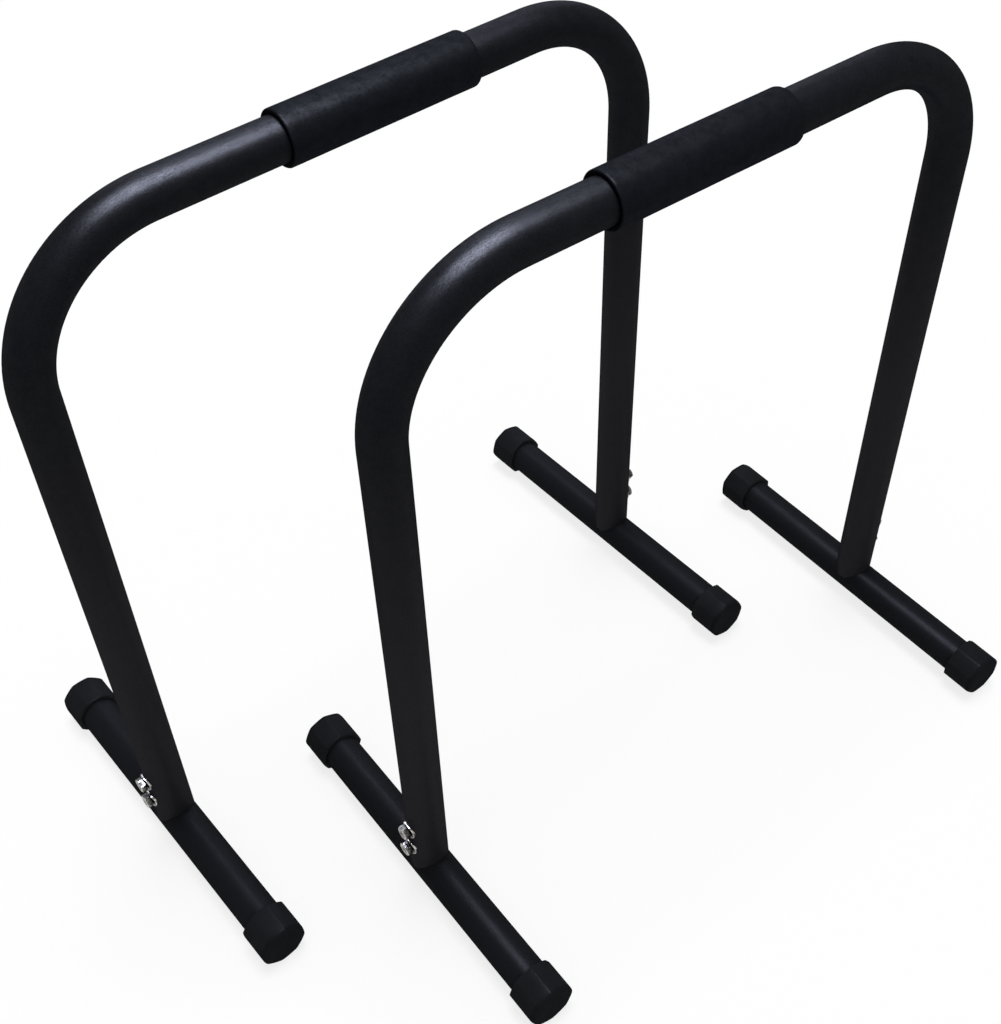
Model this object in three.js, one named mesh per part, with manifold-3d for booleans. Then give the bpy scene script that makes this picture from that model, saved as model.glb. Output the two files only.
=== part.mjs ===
// A pair of free-standing dip bars, in millimetres, with +Z up and the floor at Z = 0.
// Each bar is one bent steel tube. Its two legs slip over spigots that are welded on two cross feet,
// and are held there by bolts from the outward side. A grip sleeve covers the middle of the top.
// X runs from the left bar to the right bar, and Y runs along the bars from front to rear.
// The origin is on the floor, under the middle of the space that the pair takes up.

import * as THREE from 'three';
import { mergeVertices, toCreasedNormals } from 'three/addons/utils/BufferGeometryUtils.js';
import Module from 'manifold-3d';

const wasm = await Module();
wasm.setup();

// Bent tube
const barHeight = 724;
const legSpacing = 600;
const legTubeDiameter = 38;
const legTubeWall = 1.5;
const bendRadius = 123;
const legTipHeight = 6;

// Cross feet
const footLength = 390;
const footTubeDiameter = 38;
const footTubeWall = 1.5;

// Octagonal end caps on the feet
const capAcrossFlats = 46.5;
const capLength = 35;
const capEndThickness = 6;
const capEdgeRadius = 4.5;
const capMouthChamfer = 1;

// Grip sleeves, each pushed a little along its bar from the middle
const sleeveDiameter = 47;
const sleeveLength = 180;
const sleeveEdgeRadius = 3;
const leftSleeveShift = 22;
const rightSleeveShift = -12;

// Spigots, welded on the feet and standing inside the legs
const spigotClearance = 0.5;
const spigotWall = 2;
const spigotHeight = 100;

// Bolts, with their heights counted from the foot tube's axis
const lowerBoltHeight = 44;
const boltPitch = 28;
const boltDiameter = 8;
const boltShankLength = 20;
const boltTipChamfer = 1;
const boltHeadAcrossFlats = 13;
const boltHeadHeight = 5.3;
const boltHeadChamfer = 0.8;
const boltHoleClearance = 0.5;

// Curved washers between the bolt heads and the round legs
const washerDiameter = 18;
const washerThickness = 2;

// Nuts welded inside the spigots
const nutAcrossFlats = 13;
const nutHeight = 6.5;

// Place of the right bar, counted from the left one
const rightBarAcross = 225;
const rightBarBack = 160;
const rightBarTurnDegrees = -2.7;

// Gap between pieces that touch, and how far a cutting body runs past what it cuts
const fitGap = 0.3;
const cutOverrun = 2;

// Numbers of flat faces that stand for round ones
const tubeSides = 24;
const bendSteps = 8;
const smallSides = 16;
const edgeSteps = 4;
const capSides = 8;
const hexSides = 6;

// Sizes that follow from the ones above
const legRadius = legTubeDiameter / 2;
const legBoreRadius = legRadius - legTubeWall;
const footRadius = footTubeDiameter / 2;
const footAxisHeight = capAcrossFlats / 2;
const gripAxisHeight = barHeight - legRadius;
const spigotRadius = legBoreRadius - spigotClearance;
const spigotBoreRadius = spigotRadius - spigotWall;
const boltRadius = boltDiameter / 2;
const boltHoleRadius = boltRadius + boltHoleClearance;
const washerSeatRadius = legRadius + fitGap;
const washerTopRadius = washerSeatRadius + washerThickness;
const boltSeatRadius = washerTopRadius + fitGap;
const nutSeatRadius = spigotBoreRadius - fitGap;
const boltHeights = { lower: lowerBoltHeight, upper: lowerBoltHeight + boltPitch };
const quarterTurn = Math.PI / 2;
const creaseAngle = Math.PI / 6;

// A maker's finishes: colour, roughness and metalness
const finishes = {
  powderCoat: { color: 0x1b1c20, roughness: 0.42, metalness: 0.25 },
  gripFoam: { color: 0x19191b, roughness: 0.92, metalness: 0 },
  capRubber: { color: 0x161618, roughness: 0.6, metalness: 0 },
  zinc: { color: 0xc9ccd1, roughness: 0.3, metalness: 1 },
  plainSteel: { color: 0x7d7f83, roughness: 0.5, metalness: 1 },
};

// A closed mesh as a solid that can be joined and cut
function solidOf(geometry) {
  const bare = geometry.clone();
  bare.deleteAttribute('normal');
  bare.deleteAttribute('uv');
  const merged = mergeVertices(bare);
  const corners = merged.index.array;
  const kept = [];
  for (let i = 0; i < corners.length; i += 3) {
    const [a, b, c] = corners.slice(i, i + 3);
    if (a !== b && b !== c && c !== a) {
      kept.push(a, b, c);
    }
  }
  const vertProperties = new Float32Array(merged.attributes.position.array);
  const triVerts = new Uint32Array(kept);
  return new wasm.Manifold(new wasm.Mesh({ numProp: 3, vertProperties, triVerts }));
}

// The mesh of a solid
function geometryOf(solid) {
  const { vertProperties, triVerts } = solid.getMesh();
  const geometry = new THREE.BufferGeometry();
  geometry.setAttribute('position', new THREE.BufferAttribute(vertProperties, 3));
  geometry.setIndex(new THREE.BufferAttribute(triVerts, 1));
  return geometry;
}

function piece(name, geometry, finish) {
  const material = new THREE.MeshStandardMaterial(finishes[finish]);
  const mesh = new THREE.Mesh(toCreasedNormals(geometry, creaseAngle), material);
  mesh.name = name;
  return mesh;
}

// A body turned about +Y from its profile of [radius, height] points, which runs from low to high
function turned(profile, sides, startAngle = 0) {
  const points = profile.map(([radius, height]) => new THREE.Vector2(radius, height));
  return new THREE.LatheGeometry(points, sides, startAngle);
}

// A cylinder along +Y between two heights
function rod(radius, low, high, sides) {
  return turned([[0, low], [radius, low], [radius, high], [0, high]], sides);
}

// A prism with flat sides along +Y, one of its flats facing +Z
function prism(acrossFlats, low, high, sides) {
  const cornerRadius = acrossFlats / 2 / Math.cos(Math.PI / sides);
  return turned([[0, low], [cornerRadius, low], [cornerRadius, high], [0, high]], sides, Math.PI / sides);
}

// A ring as the section of a tube
function tubeSection(outerRadius, innerRadius) {
  const ring = new THREE.Shape();
  ring.absarc(0, 0, outerRadius, 0, 2 * Math.PI, false);
  const bore = new THREE.Path();
  bore.absarc(0, 0, innerRadius, 0, 2 * Math.PI, true);
  ring.holes.push(bore);
  return ring;
}

// A straight tube along +Z between two heights
function straightTube(outerRadius, innerRadius, low, high) {
  const settings = { depth: high - low, bevelEnabled: false, curveSegments: tubeSides / 2 };
  const tube = new THREE.ExtrudeGeometry(tubeSection(outerRadius, innerRadius), settings);
  tube.translate(0, 0, low);
  return tube;
}

// The centreline of the bent tube: up the front leg, round two quarter bends, down the rear leg.
// Its points lie where the tube's direction changes, so the legs and the top stay straight.
class BentTubeCentreline extends THREE.Curve {
  constructor(lowEnd) {
    super();
    const bendOut = legSpacing / 2 - bendRadius;
    const bendUp = gripAxisHeight - bendRadius;
    this.points = [new THREE.Vector3(0, -legSpacing / 2, lowEnd)];
    this.tangents = [new THREE.Vector3(0, 0, 1)];
    for (const half of [0, 1]) {
      for (let step = 0; step <= bendSteps; step += 1) {
        const angle = (half + step / bendSteps) * quarterTurn;
        const across = (half === 0 ? -bendOut : bendOut) - bendRadius * Math.cos(angle);
        this.points.push(new THREE.Vector3(0, across, bendUp + bendRadius * Math.sin(angle)));
        this.tangents.push(new THREE.Vector3(0, Math.sin(angle), Math.cos(angle)));
      }
    }
    this.points.push(new THREE.Vector3(0, legSpacing / 2, lowEnd));
    this.tangents.push(new THREE.Vector3(0, 0, -1));
    this.steps = this.points.length - 1;
  }

  getPointAt(share, target = new THREE.Vector3()) {
    return target.copy(this.points[Math.round(share * this.steps)]);
  }

  getTangentAt(share, target = new THREE.Vector3()) {
    return target.copy(this.tangents[Math.round(share * this.steps)]);
  }
}

// A bolt hole's cutting body on the outward side of a leg, which is -Y, at a height over the foot axis
function boltHole(height) {
  const hole = rod(boltHoleRadius, 0, legRadius + cutOverrun, smallSides);
  hole.rotateX(Math.PI);
  hole.translate(0, 0, height);
  return hole;
}

// The foot tube with its fit gap, along X through the origin, which cuts the saddles
function saddleCutter() {
  const half = legRadius + cutOverrun;
  const cutter = rod(footRadius + fitGap, -half, half, tubeSides);
  cutter.rotateZ(quarterTurn);
  return cutter;
}

// The bent tube, with its leg ends cut to sit on the feet and two bolt holes in each leg
function upperFrame() {
  const centreline = new BentTubeCentreline(footAxisHeight + legTipHeight);
  const settings = { extrudePath: centreline, steps: centreline.steps, curveSegments: tubeSides / 2 };
  const bent = new THREE.ExtrudeGeometry(tubeSection(legRadius, legBoreRadius), settings);
  let frame = solidOf(bent);
  for (const outward of [-1, 1]) {
    const cutters = [saddleCutter(), ...Object.values(boltHeights).map(boltHole)];
    for (const cutter of cutters) {
      if (outward > 0) {
        cutter.rotateZ(Math.PI);
      }
      cutter.translate(0, (outward * legSpacing) / 2, footAxisHeight);
      frame = frame.subtract(solidOf(cutter));
    }
  }
  return geometryOf(frame);
}

// The grip sleeve along Y, with rounded rims
function gripSleeve() {
  const outerRadius = sleeveDiameter / 2;
  const boreRadius = legRadius + fitGap;
  const half = sleeveLength / 2;
  const rim = [];
  for (let step = 0; step <= edgeSteps; step += 1) {
    const angle = (step / edgeSteps) * quarterTurn;
    const inset = sleeveEdgeRadius * (1 - Math.sin(angle));
    rim.push([outerRadius - inset, half - sleeveEdgeRadius * (1 - Math.cos(angle))]);
  }
  const top = rim.slice().reverse();
  const bottom = rim.map(([radius, height]) => [radius, -height]);
  return turned([[boreRadius, -half], ...bottom, ...top, [boreRadius, half], [boreRadius, -half]], tubeSides);
}

// A foot tube along X, open at both ends
function footTube() {
  const half = footLength / 2 - capEndThickness - fitGap;
  const tube = straightTube(footRadius, footRadius - footTubeWall, -half, half);
  tube.rotateY(quarterTurn);
  return tube;
}

// A spigot: a short tube welded upright on the foot tube, with its lower end cut to the foot's round
function spigot() {
  let tube = solidOf(straightTube(spigotRadius, spigotBoreRadius, 0, spigotHeight));
  const cutters = [saddleCutter(), ...Object.values(boltHeights).map(boltHole)];
  for (const cutter of cutters) {
    tube = tube.subtract(solidOf(cutter));
  }
  return geometryOf(tube);
}

// An end cap along +X with its closed end outward: eight flats and a rounded end edge outside, a round bore inside
function endCap() {
  const cornerFactor = 1 / Math.cos(Math.PI / capSides);
  const flatRadius = capAcrossFlats / 2;
  const mouth = footLength / 2 - capLength;
  const end = footLength / 2;
  const edge = [];
  for (let step = 0; step <= edgeSteps; step += 1) {
    const angle = (step / edgeSteps) * quarterTurn;
    const inset = capEdgeRadius * (1 - Math.cos(angle));
    edge.push([(flatRadius - inset) * cornerFactor, end - capEdgeRadius * (1 - Math.sin(angle))]);
  }
  const outside = turned([
    [0, mouth],
    [(flatRadius - capMouthChamfer) * cornerFactor, mouth],
    [flatRadius * cornerFactor, mouth + capMouthChamfer],
    ...edge,
    [0, end],
  ], capSides, Math.PI / capSides);
  const bore = rod(footRadius + fitGap, mouth - cutOverrun, end - capEndThickness, tubeSides);
  const cap = geometryOf(solidOf(outside).subtract(solidOf(bore)));
  cap.rotateZ(-quarterTurn);
  return cap;
}

// A hexagon bolt along Y, seated on its washer, with its head towards -Y
function hexBolt() {
  const headTop = boltSeatRadius + boltHeadHeight;
  const cornerRadius = boltHeadAcrossFlats / 2 / Math.cos(Math.PI / hexSides);
  const roundedTop = turned([
    [0, boltSeatRadius],
    [cornerRadius, boltSeatRadius],
    [cornerRadius, headTop - boltHeadChamfer],
    [boltHeadAcrossFlats / 2 - boltHeadChamfer / 2, headTop],
    [0, headTop],
  ], smallSides);
  const head = solidOf(prism(boltHeadAcrossFlats, boltSeatRadius, headTop, hexSides)).intersect(solidOf(roundedTop));
  const tip = boltSeatRadius - boltShankLength;
  const shank = solidOf(turned([
    [0, tip],
    [boltRadius - boltTipChamfer, tip],
    [boltRadius, tip + boltTipChamfer],
    [boltRadius, boltSeatRadius + boltHeadHeight / 2],
    [0, boltSeatRadius + boltHeadHeight / 2],
  ], smallSides));
  const bolt = geometryOf(head.add(shank));
  bolt.rotateX(Math.PI);
  return bolt;
}

// A washer of even thickness, curved to the leg's round
function curvedWasher() {
  const blank = rod(washerDiameter / 2, 0, washerTopRadius + cutOverrun, smallSides);
  const hole = rod(boltHoleRadius, -cutOverrun, washerTopRadius + 2 * cutOverrun, smallSides);
  const seat = upright(washerSeatRadius, washerDiameter);
  const top = upright(washerTopRadius, washerDiameter);
  const washer = solidOf(blank).intersect(solidOf(top)).subtract(solidOf(seat)).subtract(solidOf(hole));
  const geometry = geometryOf(washer);
  geometry.rotateX(Math.PI);
  return geometry;
}

// A cylinder along Z about the origin
function upright(radius, length) {
  const cylinder = rod(radius, -length, length, tubeSides);
  cylinder.rotateX(quarterTurn);
  return cylinder;
}

// A weld nut inside the spigot, with its outer end curved to the spigot's bore
function weldNut() {
  const inner = nutSeatRadius - nutHeight;
  const blank = solidOf(prism(nutAcrossFlats, inner, spigotRadius, hexSides));
  const hole = rod(boltRadius + fitGap, inner - cutOverrun, spigotRadius + cutOverrun, smallSides);
  const nut = geometryOf(blank.intersect(solidOf(upright(nutSeatRadius, nutAcrossFlats))).subtract(solidOf(hole)));
  nut.rotateX(Math.PI);
  return nut;
}

// One foot with all that is on it. Its outward side, where the bolt heads are, is -Y.
// outerSide is -1 where the cap at -X is the one away from the other bar, and 1 where the cap at +X is.
function foot(prefix, outerSide) {
  const group = new THREE.Group();
  group.add(piece(`${prefix}_foot_tube`, footTube(), 'powderCoat'));
  group.add(piece(`${prefix}_spigot`, spigot(), 'powderCoat'));
  for (const side of [-1, 1]) {
    const cap = piece(`${prefix}_${side === outerSide ? 'outer' : 'inner'}_cap`, endCap(), 'capRubber');
    cap.rotation.z = side > 0 ? 0 : Math.PI;
    group.add(cap);
  }
  for (const [level, height] of Object.entries(boltHeights)) {
    const fasteners = [
      piece(`${prefix}_${level}_bolt`, hexBolt(), 'zinc'),
      piece(`${prefix}_${level}_washer`, curvedWasher(), 'zinc'),
      piece(`${prefix}_${level}_weld_nut`, weldNut(), 'plainSteel'),
    ];
    for (const fastener of fasteners) {
      fastener.position.z = height;
      group.add(fastener);
    }
  }
  return group;
}

// One whole bar, standing on the floor with its origin under the middle of its top
function dipBar(side, outward, sleeveShift) {
  const bar = new THREE.Group();
  bar.add(piece(`${side}_upper_frame`, upperFrame(), 'powderCoat'));
  const sleeve = piece(`${side}_grip_sleeve`, gripSleeve(), 'gripFoam');
  sleeve.position.set(0, sleeveShift, gripAxisHeight);
  bar.add(sleeve);
  const front = foot(`${side}_front`, outward);
  front.position.set(0, -legSpacing / 2, footAxisHeight);
  const rear = foot(`${side}_rear`, -outward);
  rear.position.set(0, legSpacing / 2, footAxisHeight);
  rear.rotation.z = Math.PI;
  bar.add(front, rear);
  return bar;
}

const leftBar = dipBar('left', -1, leftSleeveShift);
const rightBar = dipBar('right', 1, rightSleeveShift);
rightBar.position.set(rightBarAcross, rightBarBack, 0);
rightBar.rotation.z = THREE.MathUtils.degToRad(rightBarTurnDegrees);

const dipBars = new THREE.Group();
dipBars.add(leftBar, rightBar);
const middle = new THREE.Box3().setFromObject(dipBars, true).getCenter(new THREE.Vector3());
dipBars.position.set(-middle.x, -middle.y, 0);

export default dipBars;
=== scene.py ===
"""A pair of free-standing dip bars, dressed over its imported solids.

Lengths are in metres and angles in degrees, unless a name says otherwise. +Z is up and the floor is
at Z = 0. Each bar has one bent steel tube on two cross feet, and a foam sleeve on its top.
"""

import math

import bmesh
import bpy
from mathutils import Matrix, Vector


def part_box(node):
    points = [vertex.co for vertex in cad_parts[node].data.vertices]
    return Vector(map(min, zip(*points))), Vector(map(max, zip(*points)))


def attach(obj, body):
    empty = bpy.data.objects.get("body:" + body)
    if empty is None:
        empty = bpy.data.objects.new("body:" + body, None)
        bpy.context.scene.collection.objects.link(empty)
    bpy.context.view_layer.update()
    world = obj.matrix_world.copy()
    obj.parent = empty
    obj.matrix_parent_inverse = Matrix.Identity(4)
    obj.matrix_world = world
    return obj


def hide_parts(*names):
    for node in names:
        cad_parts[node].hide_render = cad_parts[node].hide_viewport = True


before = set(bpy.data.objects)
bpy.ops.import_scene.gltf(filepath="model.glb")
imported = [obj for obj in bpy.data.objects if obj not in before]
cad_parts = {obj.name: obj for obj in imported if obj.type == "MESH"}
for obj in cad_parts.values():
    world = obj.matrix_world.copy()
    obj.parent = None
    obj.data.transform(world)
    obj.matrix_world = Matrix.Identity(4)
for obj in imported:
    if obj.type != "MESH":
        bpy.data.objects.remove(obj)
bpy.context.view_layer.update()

MM = 0.001


def middle(node):
    """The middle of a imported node's box."""
    low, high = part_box(node)
    return (low + high) / 2


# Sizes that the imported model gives
frame_low, frame_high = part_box("left_upper_frame")
sleeve_low, sleeve_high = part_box("left_grip_sleeve")
outer_cap_low, outer_cap_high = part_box("left_front_outer_cap")
inner_cap_low, inner_cap_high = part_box("left_front_inner_cap")
LEG_RADIUS = (frame_high.x - frame_low.x) / 2
LEG_HALF_SPACING = (frame_high.y - frame_low.y) / 2 - LEG_RADIUS
GRIP_HEIGHT = frame_high.z - LEG_RADIUS
LEG_TIP_HEIGHT = frame_low.z
SLEEVE_RADIUS = (sleeve_high.z - sleeve_low.z) / 2
SLEEVE_HALF = (sleeve_high.y - sleeve_low.y) / 2
CAP_FLAT_RADIUS = (outer_cap_high.z - outer_cap_low.z) / 2
CAP_LENGTH = outer_cap_high.x - outer_cap_low.x
FOOT_HALF = (inner_cap_high.x - outer_cap_low.x) / 2
FOOT_HEIGHT = middle("left_front_outer_cap").z

# Bent tubes and feet
BEND_RADIUS = 123 * MM
TUBE_WALL = 1.5 * MM
TUBE_EDGE = 0.4 * MM
FOOT_RADIUS = 19 * MM
FIT_GAP = 0.3 * MM
BEND_FLATTENING = 0.032
BEND_WIDENING = 0.018
BEND_EASE = 0.7
BEND_STEPS = 36
STRAIGHT_STEPS = 12
TUBE_SIDES = 96
LEG_RING_HEIGHTS = [height * MM for height in (24, 38, 50, 66, 78, 140, 240, 340, 440, 520)]

# Foam sleeves
SLEEVE_EDGE = 2.2 * MM
SLEEVE_MOUTH = 0.8 * MM
SLEEVE_END_SHADE_DEPTH = SLEEVE_EDGE * 0.4
SLEEVE_SIDES = 128
SLEEVE_STEPS = 60

# The sleeves' uneven skin: how deep it is, and its waves as (number round the sleeve, turn in radians
# to the metre along it, share of the sleeve's own phase)
SLEEVE_WAVE = 0.12 * MM
SLEEVE_WAVES = [(3, 38, 1), (5, -71, 2), (2, 109, -1)]

# Octagonal end caps
CAP_SIDES = 8
CAP_CORNER = 2.6 * MM
CAP_END_CORNER = 6 * MM
CAP_CORNER_REACH = 10 * MM
CAP_CORNER_STEPS = 6
CAP_CROWN = math.radians(8)
CAP_EDGE = 4 * MM
CAP_EDGE_STEPS = 12
CAP_END_THICKNESS = 6 * MM
CAP_BORE_BEVEL = 0.6 * MM
CAP_BORE_CENTRE = (FOOT_RADIUS + FIT_GAP) * 0.02
CAP_MOUTH_ROUND = 0.8 * MM
CAP_MOUTH_LEAD = 0.2 * MM
CAP_MOUTH_DEPTH = 0.4 * MM

# The groove round a cap's end, as (share of its width, share of its depth), and the dome inside it
CAP_GROOVE_INSET = CAP_EDGE + 2 * MM
CAP_GROOVE_WIDTH = 0.9 * MM
CAP_GROOVE_DEPTH = 0.15 * MM
CAP_GROOVE_SHARES = [(0, 0), (0.25, 0.7), (0.5, 1), (0.75, 0.7), (1, 0)]
CAP_DOME = 0.5 * MM
CAP_DOME_STEPS = 10

# Painted shades: 1 is the painted dark of a bore, and below 0 is painted light on a mouth's rim
CAP_LEAD_SHADE = 0.2
CAP_RIM_SHADE = -0.6
CAP_MOUTH_SHADE = -0.5
CAP_EDGE_SHADE = 0.2
FOOT_SHADE = 0.3
FOOT_SHADE_REACH = 7 * MM

# Each cap's turn on its foot: above 0, the flat at its front is lifted
CAP_TURNS = {
    "left_front_outer_cap": 0,
    "left_front_inner_cap": -8,
    "left_rear_outer_cap": -30,
    "left_rear_inner_cap": -28,
    "right_front_inner_cap": -19,
    "right_front_outer_cap": 22.5,
    "right_rear_inner_cap": 0,
    "right_rear_outer_cap": 2,
}

# Bolts, washers and the legs' bolt holes
BOLT_RADIUS = 4 * MM
BOLT_HOLE_RADIUS = 4.5 * MM
BOLT_LENGTH = 20 * MM
BOLT_TIP_CHAMFER = 1 * MM
BOLT_TIP_CENTRE = BOLT_RADIUS * 0.05
BOLT_NECK_ROUND = 0.3 * MM
BOLT_HOLE_SIDES = 48
HEAD_FLAT_RADIUS = 6.5 * MM
HEAD_HEIGHT = 5.3 * MM
HEAD_CORNER = 0.45 * MM
HEAD_SEAT_SHARE = 0.97
HEAD_SEAT_BEVEL = 0.2 * MM
HEAD_TOP_RADIUS = 6.1 * MM
HEAD_TOP_SHARE = 0.985
HEAD_TOP_SLOPE = 0.55
HEAD_TOP_DROP = 0.03 * MM
HEAD_SIDE_DROP = 0.12 * MM
HEAD_TOP_BEVEL = 0.25 * MM
HEAD_DISH_RADIUS = 4.4 * MM
HEAD_DISH_BORDER = 0.3 * MM
HEAD_DISH_DEPTH = 0.7 * MM
HEAD_DISH_SHADE = 0.7
HEAD_DISH_CENTRE = 0.03
HEAD_DISH_STEPS = 8
HEAD_TOP_SHADE = 0.15
WASHER_RADIUS = 9 * MM
WASHER_THICKNESS = 2 * MM
WASHER_EDGE = 0.35 * MM
WASHER_SIDES = 72
WASHER_RIM_SHADE = 0.4
WASHER_SEAT = LEG_RADIUS + FIT_GAP
BOLT_SEAT = WASHER_SEAT + WASHER_THICKNESS + FIT_GAP

# Each bolt head's turn
HEAD_TURNS = {
    "left_front_upper": 4,
    "left_front_lower": -17,
    "left_rear_upper": 24,
    "left_rear_lower": -6,
    "right_front_upper": -8,
    "right_front_lower": 22,
    "right_rear_upper": 3,
    "right_rear_lower": 15,
}

# Any mesh: the angle from which an edge is sharp, and the points round a polygon's corner and flat
CREASE = math.radians(35)
CORNER_STEPS = 4
FLAT_STEPS = 8

# The photograph's frame in pixels, and the camera that was fitted to its outlines
IMAGE_WIDTH = 1001
IMAGE_HEIGHT = 1024
SENSOR = 36
CAMERA_PLACE = Vector((0.715015, -0.613177, 1.282563))
CAMERA_AZIMUTH = math.radians(49.727)
CAMERA_ELEVATION = math.radians(45.694)
CAMERA_ROLL = math.radians(0.743)
FOCAL_PIXELS = 1430.994
AXIS_ACROSS = 531.879
AXIS_DOWN = 493.212
CLIP_START = 0.05
CLIP_END = 60


def make_camera():
    """The photograph's view of the bars."""
    level = math.cos(CAMERA_ELEVATION)
    ahead = Vector((
        -math.sin(CAMERA_AZIMUTH) * level,
        math.cos(CAMERA_AZIMUTH) * level,
        -math.sin(CAMERA_ELEVATION),
    ))
    across = Vector((math.cos(CAMERA_AZIMUTH), math.sin(CAMERA_AZIMUTH), 0))
    down = ahead.cross(across)
    right = math.cos(CAMERA_ROLL) * across + math.sin(CAMERA_ROLL) * down
    up = math.sin(CAMERA_ROLL) * across - math.cos(CAMERA_ROLL) * down
    data = bpy.data.cameras.new("camera")
    data.sensor_width = SENSOR
    data.lens = FOCAL_PIXELS * SENSOR / IMAGE_HEIGHT
    data.shift_x = (IMAGE_WIDTH / 2 - AXIS_ACROSS) / IMAGE_HEIGHT
    data.shift_y = (AXIS_DOWN - IMAGE_HEIGHT / 2) / IMAGE_HEIGHT
    data.clip_start = CLIP_START
    data.clip_end = CLIP_END
    camera = bpy.data.objects.new("camera", data)
    turn = Matrix((right, up, -ahead)).transposed().to_4x4()
    camera.matrix_world = Matrix.Translation(CAMERA_PLACE) @ turn
    bpy.context.scene.collection.objects.link(camera)
    bpy.context.scene.camera = camera


make_camera()


class Value:
    """A node's output, on which arithmetic adds Math nodes."""

    def __init__(self, nodes, socket):
        self.nodes = nodes
        self.socket = socket

    def math(self, operation, first, second):
        return self.nodes.node("Math", {"operation": operation}, {0: first, 1: second})

    def __add__(self, other):
        return self.math("ADD", self, other)

    def __radd__(self, other):
        return self.math("ADD", other, self)

    def __rsub__(self, other):
        return self.math("SUBTRACT", other, self)

    def __mul__(self, other):
        return self.math("MULTIPLY", self, other)

    def __rmul__(self, other):
        return self.math("MULTIPLY", other, self)


class Nodes:
    """A node tree that is being built."""

    def __init__(self, tree):
        self.tree = tree
        tree.nodes.clear()

    def node(self, kind, settings=None, sockets=None, output=0):
        """Adds a node: its settings first, then the values or links of its sockets."""
        made = self.tree.nodes.new(f"ShaderNode{kind}")
        for name, setting in (settings or {}).items():
            if name == "stops":
                ramp = made.color_ramp.elements
                while len(ramp) < len(setting):
                    ramp.new(1)
                for element, (position, level) in zip(ramp, setting):
                    element.position = position
                    element.color = (level, level, level, 1)
            else:
                setattr(made, name, setting)
        for name, value in (sockets or {}).items():
            if isinstance(value, Value):
                self.tree.links.new(value.socket, made.inputs[name])
            else:
                made.inputs[name].default_value = value
        return Value(self, made.outputs[output] if made.outputs else None)

    def noise(self, place, scale, detail=2, roughness=0.5):
        """Smooth noise from 0 to 1, with scale in grains to the metre."""
        return self.node("TexNoise", {}, {
            "Vector": place,
            "Scale": scale,
            "Detail": detail,
            "Roughness": roughness,
        })

    def ramp(self, value, *stops):
        """A value led through a ramp of (position, level) stops."""
        return self.node("ValToRGB", {"stops": stops}, {"Fac": value})

    def shade(self):
        """The painted shade of a spot: 0 in the open, 1 for the dark of a hollow and below 0 for painted
        light on a rim.
        """
        return self.node("Attribute", {"attribute_name": "shade"}, {}, "Fac")

    def edge_on(self):
        """0 where a surface faces the eye, and 1 where its gloss is seen edge-on."""
        facing = self.node("LayerWeight", {}, {"Blend": 0.5}, "Facing")
        return self.ramp(facing, (0.5, 0), (0.92, 1))

    def mix_colour(self, share, first, second):
        """A colour between two others."""
        return self.node("Mix", {"data_type": "RGBA"}, {0: share, 6: first, 7: second}, 2)


def colour(red, green, blue):
    """A colour from its linear parts."""
    return (red, green, blue, 1)


# Lamps and room
SUN_DIRECTION = Vector((-0.1, 0.12, 0.98))
SUN_STRENGTH = 2.2
SUN_SOFTNESS = math.radians(26)
SOFTBOX_PLACE = Vector((-0.008, -0.047, 1.893))
SOFTBOX_WIDTH = 0.889
SOFTBOX_DEPTH = 0.877
SOFTBOX_POWER = 393
PANEL_COLOUR = (0.76, 0.8, 1)
WINDOW_PLACE = Vector((-1.434, 0.807, 0.85))
WINDOW_AIM = Vector((0, 0, 0.4))
WINDOW_WIDTH = 1.9
WINDOW_HEIGHT = 2.1
WINDOW_POWER = 62
SIDE_PLACE = Vector((-1, 0.4, 1.9))
SIDE_AIM = Vector((0, 0, 0.4))
SIDE_WIDTH = 0.5
SIDE_HEIGHT = 0.4
SIDE_POWER = 26
ROOM_LIGHT = 0.42
CEILING_TONE = 0.35
FLOOR_WIDTH = 30
FLOOR_DROP = 0.2 * MM
FLOOR_TONE = 0.9
FLOOR_SHADOW_SHARE = 0.2
BACKDROP_SPAN = (0.4, 0.8)


def seen_directly(nodes):
    """1 for rays from the camera or a glossy or clear surface, and 0 for those that carry soft light."""
    path = "LightPath"
    camera = nodes.node(path, {}, {}, "Is Camera Ray")
    glossy = nodes.node(path, {}, {}, "Is Glossy Ray")
    clear = nodes.node(path, {}, {}, "Is Transmission Ray")
    return camera + glossy + clear


def make_room():
    """Soft white light from all round, with a white backdrop that darkens towards the ceiling."""
    world = bpy.data.worlds.new("room")
    world.use_nodes = True
    bpy.context.scene.world = world
    nodes = Nodes(world.node_tree)
    soft = nodes.node("Background", {}, {"Color": colour(1, 1, 1), "Strength": ROOM_LIGHT})
    heading = nodes.node("TexCoord", {}, {}, "Generated")
    height = nodes.node("SeparateXYZ", {}, {"Vector": heading}, "Z")
    low, high = BACKDROP_SPAN
    level = nodes.ramp(height, (low, 1), (high, CEILING_TONE))
    backdrop = nodes.node("Background", {}, {"Color": level, "Strength": 1})
    both = nodes.node("MixShader", {}, {0: seen_directly(nodes), 1: soft, 2: backdrop})
    nodes.node("OutputWorld", {}, {"Surface": both})


def hang(name, lamp, place, aim, hidden_from):
    """A lamp in its place, left out of soft or of glossy light, so that each has its own level."""
    holder = bpy.data.objects.new(name, lamp)
    holder.location = place
    holder.rotation_mode = "QUATERNION"
    holder.rotation_quaternion = (place - aim).to_track_quat("Z", "Y")
    setattr(holder, hidden_from, False)
    bpy.context.scene.collection.objects.link(holder)


def panel(name, width, height, power):
    """A soft lamp with a rectangular face."""
    lamp = bpy.data.lights.new(name, "AREA")
    lamp.shape = "RECTANGLE"
    lamp.size = width
    lamp.size_y = height
    lamp.energy = power
    lamp.color = PANEL_COLOUR
    return lamp


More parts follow.
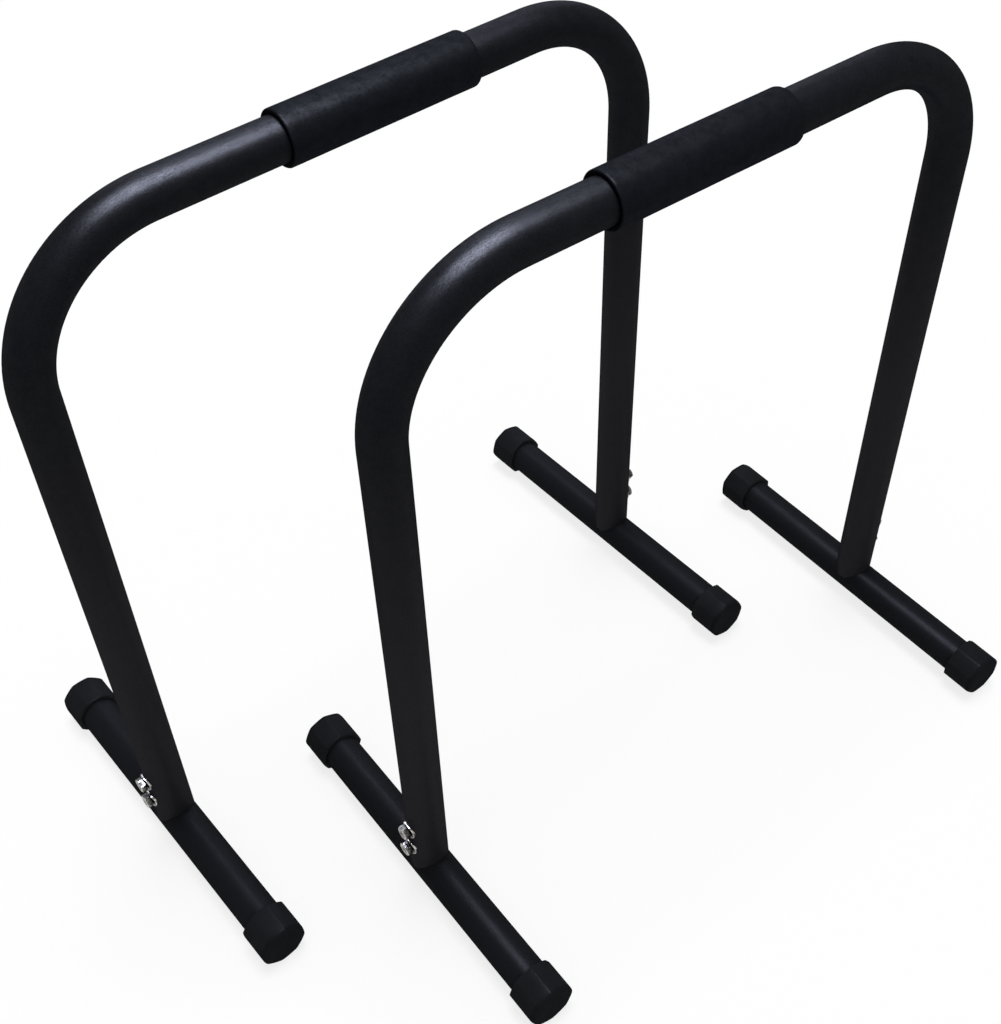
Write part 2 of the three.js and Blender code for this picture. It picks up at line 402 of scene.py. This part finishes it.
def make_lamps():
    """A wide lamp overhead, a softbox for the long highlights, one at its side and a window."""
    sun = bpy.data.lights.new("overhead_lamp", "SUN")
    sun.energy = SUN_STRENGTH
    sun.angle = SUN_SOFTNESS
    hang("overhead_lamp", sun, SUN_DIRECTION, Vector(), "visible_glossy")
    softbox = panel("softbox", SOFTBOX_WIDTH, SOFTBOX_DEPTH, SOFTBOX_POWER)
    hang("softbox", softbox, SOFTBOX_PLACE, SOFTBOX_PLACE - Vector((0, 0, 1)), "visible_diffuse")
    window = panel("window", WINDOW_WIDTH, WINDOW_HEIGHT, WINDOW_POWER)
    hang("window", window, WINDOW_PLACE, WINDOW_AIM, "visible_diffuse")
    side = panel("side_softbox", SIDE_WIDTH, SIDE_HEIGHT, SIDE_POWER)
    hang("side_softbox", side, SIDE_PLACE, SIDE_AIM, "visible_diffuse")


def make_floor():
    """A white floor that keeps a pale shadow."""
    half = FLOOR_WIDTH / 2
    corners = [(-half, -half), (half, -half), (half, half), (-half, half)]
    mesh = bpy.data.meshes.new("floor")
    mesh.from_pydata([(x, y, -FLOOR_DROP) for x, y in corners], [], [(0, 1, 2, 3)])
    material = bpy.data.materials.new("floor_white")
    material.use_nodes = True
    nodes = Nodes(material.node_tree)
    matt = nodes.node("BsdfDiffuse", {}, {"Color": colour(FLOOR_TONE, FLOOR_TONE, FLOOR_TONE)})
    white = nodes.node("Emission", {}, {"Color": colour(1, 1, 1), "Strength": 1})
    share = seen_directly(nodes) * (1 - FLOOR_SHADOW_SHARE)
    both = nodes.node("MixShader", {}, {0: share, 1: matt, 2: white})
    nodes.node("OutputMaterial", {}, {"Surface": both})
    mesh.materials.append(material)
    floor = bpy.data.objects.new("floor", mesh)
    bpy.context.scene.collection.objects.link(floor)


bpy.context.scene.view_settings.view_transform = "Standard"
make_room()
make_lamps()
make_floor()


def finish(name):
    """A new material's nodes."""
    material = bpy.data.materials.new(name)
    material.use_nodes = True
    return material, Nodes(material.node_tree)


def surface(nodes, **sockets):
    """The shader at the end of a finish."""
    named = {name.replace("_", " "): value for name, value in sockets.items()}
    shader = nodes.node("BsdfPrincipled", {}, named)
    nodes.node("OutputMaterial", {}, {"Surface": shader})


def black_coat(name, gloss, dark, light, low):
    """Black powder coat with a fine grain, a faint mottle and a few dull rubs.

    It fades to the colour low towards the floor, as painted light bounced up from the floor, and takes
    painted shade where the mesh's shade attribute is high.
    """
    material, nodes = finish(name)
    place = nodes.node("TexCoord", {}, {}, "Object")
    grain = nodes.noise(place, 900, 3, 0.6)
    mottle = nodes.noise(place, 90, 3, 0.6)
    rubs = nodes.ramp(nodes.noise(place, 95, 4, 0.7), (0.6, 0), (0.74, 1))
    rub_places = nodes.ramp(nodes.noise(place, 11, 2, 0.5), (0.56, 0), (0.68, 1))
    rubbed = rubs * rub_places
    coat = nodes.mix_colour(grain * 0.45 + mottle * 0.55, dark, light)
    # Painted light: below 0.62 m the coat turns towards the colour low. On the legs this is paler, for
    # light bounced up from the floor, and the feet lie wholly in it.
    height = nodes.node("SeparateXYZ", {}, {"Vector": place}, "Z")
    painted_floor_bounce = nodes.mix_colour(nodes.ramp(height, (0.3, 1), (0.62, 0)), coat, low)
    worn = nodes.mix_colour(rubbed * 0.25, painted_floor_bounce, colour(0.016, 0.016, 0.018))
    # Painted shade: towards near black where the mesh's shade attribute is high, as on the feet beside
    # their caps.
    tone = nodes.mix_colour(nodes.shade(), worn, colour(0.001, 0.001, 0.0014))
    bump = nodes.node("Bump", {}, {
        "Strength": 0.6,
        "Distance": 0.2 * MM,
        "Height": grain,
    })
    grainy = nodes.ramp(grain * 0.85 + mottle * 0.15, (0.36, 0.4), (0.64, 1.6))
    surface(
        nodes,
        Base_Color=tone,
        Roughness=0.5 + 0.2 * grain,
        Specular_IOR_Level=0,
        Coat_Weight=gloss * grainy * (1 - 0.75 * nodes.edge_on()) * (1 - 0.3 * rubbed),
        Coat_Roughness=0.38,
        Normal=bump,
    )
    return material


def grip_foam():
    """Charcoal foam rubber: a closed skin with small pores and a cloudy tone, with painted shade on its
    cut ends.
    """
    material, nodes = finish("grip_foam")
    place = nodes.node("TexCoord", {}, {}, "Object")
    pores = nodes.node("TexVoronoi", {}, {"Vector": place, "Scale": 700}, "Distance")
    grain = nodes.noise(place, 520, 4, 0.7)
    cloud = nodes.noise(place, 110, 4, 0.65)
    share = grain * 0.5 + cloud * 0.5
    skin_tone = nodes.mix_colour(share, colour(0.0044, 0.0052, 0.0074), colour(0.0106, 0.0118, 0.0152))
    # Painted shade on the cut ends: towards near black where the shade attribute is high.
    tone = nodes.mix_colour(nodes.shade(), skin_tone, colour(0.0006, 0.0008, 0.0014))
    bump = nodes.node("Bump", {}, {
        "Strength": 1,
        "Distance": 0.5 * MM,
        "Height": pores * 0.4 + grain * 0.7 + cloud * 0.5,
    })
    grainy = nodes.ramp(share, (0.36, 0.3), (0.64, 1.7))
    surface(
        nodes,
        Base_Color=tone,
        Roughness=0.6 + 0.2 * grain,
        Specular_IOR_Level=0,
        Coat_Weight=0.0195 * grainy * (1 - 0.5 * nodes.edge_on()),
        Coat_Roughness=0.41,
        Normal=bump,
    )
    return material


def cap_rubber():
    """Satin moulded rubber with a fine grain, with painted shade in its bore and painted light on its
    mouth's rim.
    """
    material, nodes = finish("cap_rubber")
    place = nodes.node("TexCoord", {}, {}, "Object")
    grain = nodes.noise(place, 700, 3, 0.6)
    cloud = nodes.noise(place, 60, 3, 0.6)
    share = grain * 0.4 + cloud * 0.6
    moulded = nodes.mix_colour(share, colour(0.0076, 0.0082, 0.0098), colour(0.0138, 0.0145, 0.0166))
    shade = nodes.shade()
    # Painted shade in the bore and on the end's edge, and painted light on the mouth's rim where the
    # shade is below 0.
    shaded = nodes.mix_colour(shade, moulded, colour(0.001, 0.0013, 0.002))
    tone = nodes.mix_colour(shade * -1, shaded, colour(0.033, 0.034, 0.038))
    bump = nodes.node("Bump", {}, {
        "Strength": 0.4,
        "Distance": 0.2 * MM,
        "Height": grain + cloud * 0.6,
    })
    grainy = nodes.ramp(share, (0.35, 0.6), (0.65, 1.4))
    open_gloss = nodes.ramp(shade, (0, 1), (0.2, 0.35))
    surface(
        nodes,
        Base_Color=tone,
        Roughness=0.5 + 0.2 * grain,
        Specular_IOR_Level=0,
        Coat_Weight=0.014 * grainy * (1 - 0.5 * nodes.edge_on()) * open_gloss,
        Coat_Roughness=0.31,
        Normal=bump,
    )
    return material


def zinc():
    """Bright zinc plate with dull spots, which also stand in for dark reflections, and painted shade in
    its hollows.
    """
    material, nodes = finish("zinc")
    place = nodes.node("TexCoord", {}, {}, "Object")
    grain = nodes.noise(place, 1500, 3, 0.6)
    cloud = nodes.noise(place, 420, 3, 0.6)
    dull_spots_and_dark_reflections = nodes.ramp(cloud, (0.4, 0), (0.62, 1))
    plate = nodes.mix_colour(dull_spots_and_dark_reflections, colour(0.15, 0.147, 0.14), colour(0.64, 0.62, 0.585))
    # Painted shade: near black where the shade attribute is high, on the hidden shank, the head's sides,
    # its dish and the washer's face under the head.
    tone = nodes.mix_colour(nodes.shade(), plate, colour(0.012, 0.012, 0.012))
    bump = nodes.node("Bump", {}, {
        "Strength": 0.5,
        "Distance": 0.12 * MM,
        "Height": grain * 0.5 + cloud,
    })
    surface(
        nodes,
        Base_Color=tone,
        Metallic=1,
        Roughness=0.16 + 0.12 * grain + 0.12 * cloud,
        Normal=bump,
    )
    return material


def plain_steel():
    """Bare steel, dull from welding."""
    material, nodes = finish("plain_steel")
    place = nodes.node("TexCoord", {}, {}, "Object")
    grain = nodes.noise(place, 900, 4, 0.65)
    cloud = nodes.noise(place, 130, 3, 0.6)
    tone = nodes.mix_colour(cloud, colour(0.12, 0.115, 0.11), colour(0.3, 0.3, 0.31))
    bump = nodes.node("Bump", {}, {
        "Strength": 0.4,
        "Distance": 0.15 * MM,
        "Height": grain + cloud * 0.5,
    })
    surface(
        nodes,
        Base_Color=tone,
        Metallic=1,
        Roughness=0.42 + 0.2 * grain,
        Normal=bump,
    )
    return material


# Each coat's last colour is its tone low down: on the legs it is paler, as painted light bounced up from
# the floor.
FINISHES = {
    "powder_coat": black_coat(
        "powder_coat", 0.055,
        colour(0.0046, 0.0052, 0.0072), colour(0.0098, 0.0105, 0.013), colour(0.0158, 0.0152, 0.0182),
    ),
    "foot_coat": black_coat(
        "foot_coat", 0.0235,
        colour(0.0064, 0.007, 0.0088), colour(0.0112, 0.0118, 0.014), colour(0.0088, 0.0094, 0.0114),
    ),
    "grip_foam": grip_foam(),
    "cap_rubber": cap_rubber(),
    "zinc": zinc(),
    "plain_steel": plain_steel(),
}


def skin(name, rings, closed, shades=None):
    """A mesh over rings of points, with a painted shade for each ring where it is given.

    Closed rings make a loop, and the others get a face at each end.
    """
    around = len(rings[0])
    points = [point for ring in rings for point in ring]
    faces = []
    for step in range(len(rings) if closed else len(rings) - 1):
        here = step * around
        there = (step + 1) % len(rings) * around
        for place in range(around):
            after = (place + 1) % around
            faces.append((here + place, here + after, there + after, there + place))
    if not closed:
        faces.append(tuple(range(around)))
        faces.append(tuple(range(len(points) - around, len(points))))
    mesh = bpy.data.meshes.new(name)
    mesh.from_pydata(points, [], faces)
    if shades:
        shade = mesh.attributes.new("shade", "FLOAT", "POINT")
        shade.data.foreach_set("value", [level for level in shades for _ in range(around)])
    tidy(mesh)
    return mesh


def tidy(mesh):
    """Turns a mesh's faces outward and shades them smooth up to the crease angle."""
    work = bmesh.new()
    work.from_mesh(mesh)
    bmesh.ops.recalc_face_normals(work, faces=work.faces)
    work.to_mesh(mesh)
    work.free()
    mesh.shade_smooth()
    mesh.set_sharp_from_angle(angle=CREASE)


def directions(sides):
    """Directions round a full turn, as (cosine, sine)."""
    angles = [math.tau * place / sides for place in range(sides)]
    return [(math.cos(angle), math.sin(angle)) for angle in angles]


def rounded_polygon(sides, flat_radius, corner, crown=0):
    """Points round a polygon with rounded corners, one of its flats facing each axis.

    Each flat bulges by the angle crown from its middle to its ends.
    """
    half_side = math.pi / sides
    bulge = (flat_radius - corner) * math.tan(half_side) * math.tan(crown) / 2
    centre_radius = (flat_radius - bulge - corner) / math.cos(half_side)
    arcs = []
    for side in range(sides):
        heading = (2 * side + 1) * half_side
        centre = Vector((math.cos(heading), math.sin(heading))) * centre_radius
        arc = []
        for step in range(CORNER_STEPS + 1):
            angle = heading + (2 * step / CORNER_STEPS - 1) * (half_side - crown)
            arc.append(centre + Vector((math.cos(angle), math.sin(angle))) * corner)
        arcs.append(arc)
    points = []
    for side, arc in enumerate(arcs):
        points.extend(arc)
        start = arc[-1]
        end = arcs[(side + 1) % sides][0]
        outward = (start + end).normalized() * 4 * bulge
        for step in range(1, FLAT_STEPS):
            share = step / FLAT_STEPS
            points.append(start.lerp(end, share) + outward * share * (1 - share))
    return points


def quarter_round(steps):
    """Shares of a quarter round: how far along and how far in, from its start to its end."""
    angles = [math.pi / 2 * step / steps for step in range(steps + 1)]
    return [(math.sin(angle), 1 - math.cos(angle)) for angle in angles]


def tube_stations():
    """The bent tube's way up one leg, over the top and down the other, as (Y, Z, heading, bend)."""
    bend_out = LEG_HALF_SPACING - BEND_RADIUS
    bend_up = GRIP_HEIGHT - BEND_RADIUS
    leg = [FOOT_HEIGHT + height for height in LEG_RING_HEIGHTS]
    stations = [(-LEG_HALF_SPACING, height, 0, 0) for height in leg]
    for first, sense in ((0, -1), (math.pi / 2, 1)):
        for step in range(BEND_STEPS + 1):
            share = step / BEND_STEPS
            heading = first + share * math.pi / 2
            across = sense * bend_out - BEND_RADIUS * math.cos(heading)
            height = bend_up + BEND_RADIUS * math.sin(heading)
            stations.append((across, height, heading, math.sin(math.pi * share) ** BEND_EASE))
        if sense < 0:
            for step in range(1, STRAIGHT_STEPS):
                across = bend_out * (2 * step / STRAIGHT_STEPS - 1)
                stations.append((across, GRIP_HEIGHT, math.pi / 2, 0))
    stations.extend((LEG_HALF_SPACING, height, math.pi, 0) for height in reversed(leg))
    return stations


def tube_ring(radius, station):
    """A ring round the bent tube, a little flat where the tube bends."""
    along, height, heading, bend = station
    in_plane = radius * (1 - BEND_FLATTENING * bend)
    sideways = radius * (1 + BEND_WIDENING * bend)
    ring = []
    for cosine, sine in directions(TUBE_SIDES):
        out = in_plane * sine
        ring.append((
            sideways * cosine,
            along - out * math.cos(heading),
            height + out * math.sin(heading),
        ))
    return ring


def coped_ring(radius, lift, heading):
    """A ring round a leg's lower end, which is cut to sit on the round foot."""
    saddle = FOOT_RADIUS + FIT_GAP
    along = -LEG_HALF_SPACING * math.cos(heading)
    lowest = LEG_TIP_HEIGHT - FOOT_HEIGHT
    ring = []
    for cosine, sine in directions(TUBE_SIDES):
        across = radius * sine
        over = math.sqrt(max(saddle ** 2 - across ** 2, 0))
        ring.append((
            radius * cosine,
            along - across * math.cos(heading),
            FOOT_HEIGHT + max(over, lowest) + lift,
        ))
    return ring


def leg_end(heading):
    """The rounded rim of a leg's lower end, from the outside to the bore."""
    bore = LEG_RADIUS - TUBE_WALL
    rounding = quarter_round(4)
    outside = [(LEG_RADIUS - TUBE_EDGE * inset, TUBE_EDGE * (1 - along)) for along, inset in rounding]
    inside = [(bore + TUBE_EDGE * inset, TUBE_EDGE * (1 - along)) for along, inset in rounding]
    return [coped_ring(radius, lift, heading) for radius, lift in outside + inside[::-1]]


def upper_frame(name):
    """The bent tube with its wall, coped ends and bolt holes."""
    stations = tube_stations()
    outside = [tube_ring(LEG_RADIUS, station) for station in stations]
    inside = [tube_ring(LEG_RADIUS - TUBE_WALL, station) for station in reversed(stations)]
    rings = leg_end(0)[::-1] + outside + leg_end(math.pi) + inside
    return drilled(skin(name, rings, True))


def drilled(mesh):
    """The bent tube with two bolt holes in the outward side of each leg."""
    holes = []
    reach = LEG_RADIUS * 1.3
    for node in ("left_front_upper_bolt", "left_front_lower_bolt"):
        height = middle(node).z
        for sense in (-1, 1):
            start = sense * LEG_HALF_SPACING
            rings = [
                [
                    (BOLT_HOLE_RADIUS * cosine, start + sense * depth, height + BOLT_HOLE_RADIUS * sine)
                    for cosine, sine in directions(BOLT_HOLE_SIDES)
                ]
                for depth in (0, reach)
            ]
            cutter = bpy.data.objects.new("cutter", skin("cutter", rings, False))
            bpy.context.scene.collection.objects.link(cutter)
            holes.append(cutter)
    blank = bpy.data.objects.new("blank", mesh)
    bpy.context.scene.collection.objects.link(blank)
    for cutter in holes:
        cut = blank.modifiers.new("hole", "BOOLEAN")
        cut.operation = "DIFFERENCE"
        cut.solver = "EXACT"
        cut.object = cutter
    made = bpy.data.meshes.new_from_object(blank.evaluated_get(bpy.context.evaluated_depsgraph_get()))
    for helper in [blank, *holes]:
        bpy.data.objects.remove(helper)
    made.name = mesh.name
    tidy(made)
    return made


def grip_sleeve(name, phase):
    """The foam sleeve along Y, with soft rims and a slightly uneven skin."""
    bore = LEG_RADIUS + FIT_GAP
    rim = [
        (SLEEVE_RADIUS - SLEEVE_EDGE * inset, SLEEVE_EDGE * (1 - along))
        for along, inset in quarter_round(8)
    ]
    mouth = [
        (bore + SLEEVE_MOUTH * inset, SLEEVE_MOUTH * (1 - along))
        for along, inset in quarter_round(5)
    ]
    front = [(radius, depth - SLEEVE_HALF) for radius, depth in mouth + rim[::-1]]
    body_half = SLEEVE_HALF - SLEEVE_EDGE
    body = [
        (SLEEVE_RADIUS, body_half * (2 * step / SLEEVE_STEPS - 1))
        for step in range(1, SLEEVE_STEPS)
    ]
    rear = [(radius, -depth) for radius, depth in reversed(front)]
    rings = []
    shades = []
    for radius, depth in front + body + rear:
        # Painted shade on the sleeve's cut ends, fading out over a short depth from each end.
        on_end = (abs(depth) - SLEEVE_HALF) / SLEEVE_END_SHADE_DEPTH + 1
        shades.append(min(max(on_end, 0), 1))
        ring = []
        for place, (cosine, sine) in enumerate(directions(SLEEVE_SIDES)):
            angle = math.tau * place / SLEEVE_SIDES
            wave = sum(
                math.sin(around * angle + turn * depth + shift * phase)
                for around, turn, shift in SLEEVE_WAVES
            ) / len(SLEEVE_WAVES)
            share = max((radius - bore) / (SLEEVE_RADIUS - bore), 0)
            uneven = radius - SLEEVE_WAVE * share * (1 - wave) / 2
            ring.append((uneven * cosine, depth, uneven * sine))
        rings.append(ring)
    return skin(name, rings, True, shades)


def foot_tube(name):
    """A cross foot's tube along X, open at both ends, with painted shade beside its caps."""
    half = FOOT_HALF - CAP_END_THICKNESS - FIT_GAP
    bore = FOOT_RADIUS - TUBE_WALL
    outside = []
    inside = []
    for along, inset in quarter_round(3):
        depth = half - TUBE_EDGE * (1 - along)
        outside.append((FOOT_RADIUS - TUBE_EDGE * inset, depth))
        inside.append((bore + TUBE_EDGE * inset, depth))
    mouth = FOOT_HALF - CAP_LENGTH
    beside_cap = [(FOOT_RADIUS, mouth - FOOT_SHADE_REACH * share) for share in (1, 0.6, 0.3, 0.1, 0)]
    profile = beside_cap + outside + inside[::-1]
    profile += [(radius, -depth) for radius, depth in reversed(profile)]
    rings = [
        [(depth, radius * cosine, radius * sine) for cosine, sine in directions(TUBE_SIDES)]
        for radius, depth in profile
    ]
    # Painted shade beside each cap, fading out over FOOT_SHADE_REACH from the cap's mouth.
    nearness = [min(max(1 - (mouth - abs(depth)) / FOOT_SHADE_REACH, 0), 1) for _, depth in profile]
    return skin(name, rings, True, [FOOT_SHADE * share for share in nearness])


def end_cap(name, turn_degrees):
    """An octagonal cap along +X: rounded flats outside, a round bore inside and a domed end.

    Its corners get rounder towards the end, and are pressed flat where they meet the floor.
    """
    turn = Matrix.Rotation(math.radians(turn_degrees), 2)
    outline = rounded_polygon(CAP_SIDES, CAP_FLAT_RADIUS, CAP_CORNER, CAP_CROWN)
    spokes = [turn @ point.normalized() for point in outline]
    mouth = FOOT_HALF - CAP_LENGTH
    bore = FOOT_RADIUS + FIT_GAP
    bore_end = FOOT_HALF - CAP_END_THICKNESS
    rim_end = FOOT_HALF - CAP_DOME

    def octagon(inset, depth):
        nearness = max(1 - max(rim_end - depth, 0) / CAP_CORNER_REACH, 0)
        corner = CAP_CORNER + (CAP_END_CORNER - CAP_CORNER) * nearness ** 2
        corner *= 1 - inset / CAP_FLAT_RADIUS
        flat_radius = CAP_FLAT_RADIUS - inset
        points = [turn @ point for point in rounded_polygon(CAP_SIDES, flat_radius, corner, CAP_CROWN)]
        return [(depth, point.x, max(point.y, -FOOT_HEIGHT)) for point in points]

    def circle(radius, depth):
        return [(depth, spoke.x * radius, spoke.y * radius) for spoke in spokes]

    rings = [
        circle(CAP_BORE_CENTRE, bore_end),
        circle(bore - CAP_BORE_BEVEL, bore_end),
        circle(bore, bore_end - CAP_BORE_BEVEL),
        circle(bore, mouth + CAP_MOUTH_DEPTH),
    ]
    # Painted shade: dark in the bore, then painted light on the mouth's rim where the shade goes below
    # 0.
    shades = [1] * len(rings)
    for along, inset in quarter_round(4)[1:]:
        rings.append(circle(bore + CAP_MOUTH_LEAD * inset, mouth + CAP_MOUTH_DEPTH * (1 - along)))
        shades.append(CAP_LEAD_SHADE + (CAP_RIM_SHADE - CAP_LEAD_SHADE) * inset)
    for along, inset in quarter_round(5)[::-1]:
        rings.append(octagon(CAP_MOUTH_ROUND * inset, mouth + CAP_MOUTH_ROUND * (1 - along)))
        shades.append(CAP_MOUTH_SHADE * inset ** 2)
    for step in range(CAP_CORNER_STEPS):
        left = CAP_EDGE + (CAP_CORNER_REACH - CAP_EDGE) * (1 - step / CAP_CORNER_STEPS)
        rings.append(octagon(0, rim_end - left))
        shades.append(0)
    # Painted shade on the end's rounded edge, which also dims its gloss.
    for along, inset in quarter_round(CAP_EDGE_STEPS):
        rings.append(octagon(CAP_EDGE * inset, rim_end - CAP_EDGE * (1 - along)))
        shades.append(CAP_EDGE_SHADE * (1 - inset))
    for across, deep in CAP_GROOVE_SHARES:
        inset = CAP_GROOVE_INSET + CAP_GROOVE_WIDTH * across
        rings.append(octagon(inset, rim_end - CAP_GROOVE_DEPTH * deep))
        shades.append(0)
    dome_inset = CAP_GROOVE_INSET + CAP_GROOVE_WIDTH
    for step in range(1, CAP_DOME_STEPS):
        share = step / CAP_DOME_STEPS
        rings.append(octagon(
            dome_inset + (CAP_FLAT_RADIUS - dome_inset) * share,
            rim_end + CAP_DOME * math.sin(share * math.pi / 2),
        ))
        shades.append(0)
    return skin(name, rings, False, shades)


def hex_bolt(name, turn_degrees):
    """A hexagon bolt along Y with its head towards -Y, chamfered by turning and dished on top."""
    turn = Matrix.Rotation(math.radians(turn_degrees), 2)
    outline = [turn @ point for point in rounded_polygon(6, HEAD_FLAT_RADIUS, HEAD_CORNER)]
    spokes = [point.normalized() for point in outline]

    def circle(radius, depth):
        return [(spoke.x * radius, -depth, spoke.y * radius) for spoke in spokes]

    def hexagon(size, top):
        ring = []
        for point in outline:
            slope = max(point.length * size - HEAD_TOP_RADIUS, 0) * HEAD_TOP_SLOPE
            ring.append((point.x * size, -(top - slope), point.y * size))
        return ring

    head_top = BOLT_SEAT + HEAD_HEIGHT
    tip = BOLT_SEAT - BOLT_LENGTH
    seat = [(point.x * HEAD_SEAT_SHARE, -BOLT_SEAT, point.y * HEAD_SEAT_SHARE) for point in outline]
    low_side = [(point.x, -(BOLT_SEAT + HEAD_SEAT_BEVEL), point.y) for point in outline]
    rings = [
        circle(BOLT_TIP_CENTRE, tip),
        circle(BOLT_RADIUS - BOLT_TIP_CHAMFER, tip),
        circle(BOLT_RADIUS, tip + BOLT_TIP_CHAMFER),
        circle(BOLT_RADIUS, BOLT_SEAT - BOLT_NECK_ROUND),
        circle(BOLT_RADIUS + BOLT_NECK_ROUND, BOLT_SEAT),
        seat,
        low_side,
        hexagon(1, head_top - HEAD_SIDE_DROP),
        hexagon(HEAD_TOP_SHARE, head_top - HEAD_TOP_DROP),
        circle(HEAD_TOP_RADIUS, head_top - HEAD_TOP_DROP),
        circle(HEAD_TOP_RADIUS - HEAD_TOP_BEVEL, head_top),
        circle(HEAD_DISH_RADIUS + HEAD_DISH_BORDER, head_top),
    ]
    # Painted shade: dark on the hidden shank, dark on the head's sides near the seat, where it also
    # stands for dark reflections, and in the dish, with a little on the top.
    shades = [1] * 6 + [0.95, 0.7, 0, 0, 0, HEAD_TOP_SHADE]
    for step in range(1, HEAD_DISH_STEPS + 1):
        share = step / HEAD_DISH_STEPS
        radius = HEAD_DISH_RADIUS * (1 - share * (1 - HEAD_DISH_CENTRE))
        depth = HEAD_DISH_DEPTH * math.sqrt(1 - (radius / HEAD_DISH_RADIUS) ** 2)
        rings.append(circle(radius, head_top - depth))
        shades.append(HEAD_DISH_SHADE * math.sin(math.pi * share) + HEAD_TOP_SHADE)
    return skin(name, rings, False, shades)


def curved_washer(name):
    """A washer along Y, bent to the leg's round, with rounded edges."""
    top = WASHER_SEAT + WASHER_THICKNESS
    edge = WASHER_EDGE
    rounding = quarter_round(3)
    hole = BOLT_HOLE_RADIUS
    rim = WASHER_RADIUS
    # Painted shade: at the rim's lower edge, and on the face under the head, in the hole and on the
    # back.
    low_rim = [
        (rim - edge * (1 - along), WASHER_SEAT + edge * inset, WASHER_RIM_SHADE)
        for along, inset in rounding
    ]
    top_rim = [(rim - edge * inset, top - edge * (1 - along), 0) for along, inset in rounding]
    face = [(rim - (rim - hole) * share, top, min(share * 4, 1)) for share in (0.16, 0.3, 0.75)]
    top_hole = [(hole + edge * (1 - along), top - edge * inset, 1) for along, inset in rounding]
    low_hole = [(hole + edge * inset, WASHER_SEAT + edge * (1 - along), 1) for along, inset in rounding]
    back = [(hole + (rim - hole) * share, WASHER_SEAT, 1) for share in (0.25, 0.5, 0.75)]
    profile = low_rim + top_rim + face + top_hole + low_hole + back
    rings = []
    for radius, reach, _ in profile:
        ring = []
        for cosine, sine in directions(WASHER_SIDES):
            across = radius * cosine
            ring.append((across, -math.sqrt(reach ** 2 - across ** 2), radius * sine))
        rings.append(ring)
    return skin(name, rings, True, [shade for _, _, shade in profile])


def add(name, mesh, place, body, slot, coat=None):
    """A new piece in its place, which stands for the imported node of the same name."""
    mesh.transform(place)
    mesh.materials.clear()
    mesh.materials.append(FINISHES[coat or slot])
    piece = bpy.data.objects.new(f"{name}_dressed", mesh)
    bpy.context.scene.collection.objects.link(piece)
    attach(piece, body)
    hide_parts(name)
    return piece


def refinish(name, slot):
    """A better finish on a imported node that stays."""
    for material_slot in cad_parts[name].material_slots:
        material_slot.material = FINISHES[slot]


def dress_foot(prefix, end, turn, body):
    """One cross foot with its tube, caps, bolts and washers."""
    foot = f"{prefix}_{end}"
    centre = middle(f"{foot}_spigot")
    centre.z = FOOT_HEIGHT
    axis = Vector((math.cos(turn), math.sin(turn), 0))
    outward = turn if end == "front" else turn + math.pi
    place = Matrix.Translation(centre) @ Matrix.Rotation(outward, 4, "Z")
    tube = f"{foot}_foot_tube"
    add(tube, foot_tube(tube), place, body, "powder_coat", "foot_coat")
    for side in ("outer", "inner"):
        cap = f"{foot}_{side}_cap"
        ahead = (middle(cap) - centre).dot(axis) > 0
        heading = turn if ahead else turn + math.pi
        cap_place = Matrix.Translation(centre) @ Matrix.Rotation(heading, 4, "Z")
        cap_turn = -CAP_TURNS[cap] if ahead else CAP_TURNS[cap]
        add(cap, end_cap(cap, cap_turn), cap_place, body, "cap_rubber")
    for level in ("upper", "lower"):
        bolt = f"{foot}_{level}_bolt"
        washer = f"{foot}_{level}_washer"
        lifted = Matrix.Translation((0, 0, middle(bolt).z - FOOT_HEIGHT)) @ place
        add(bolt, hex_bolt(bolt, HEAD_TURNS[f"{foot}_{level}"]), lifted, body, "zinc")
        add(washer, curved_washer(washer), lifted, body, "zinc")
        refinish(f"{foot}_{level}_weld_nut", "plain_steel")
    refinish(f"{foot}_spigot", "powder_coat")


def dress_bar(prefix, phase):
    """One whole bar."""
    body = f"{prefix}_bar"
    front = middle(f"{prefix}_front_spigot")
    rear = middle(f"{prefix}_rear_spigot")
    turn = math.atan2(front.x - rear.x, rear.y - front.y)
    centre = (front + rear) / 2
    centre.z = 0
    place = Matrix.Translation(centre) @ Matrix.Rotation(turn, 4, "Z")
    name = f"{prefix}_upper_frame"
    add(name, upper_frame(name), place, body, "powder_coat")
    sleeve = f"{prefix}_grip_sleeve"
    sleeve_place = Matrix.Translation(middle(sleeve)) @ Matrix.Rotation(turn, 4, "Z")
    padding = add(sleeve, grip_sleeve(sleeve, phase), sleeve_place, body, "grip_foam")
    for end in ("front", "rear"):
        dress_foot(prefix, end, turn, body)


dress_bar("left", 0.4)
dress_bar("right", 2.1)
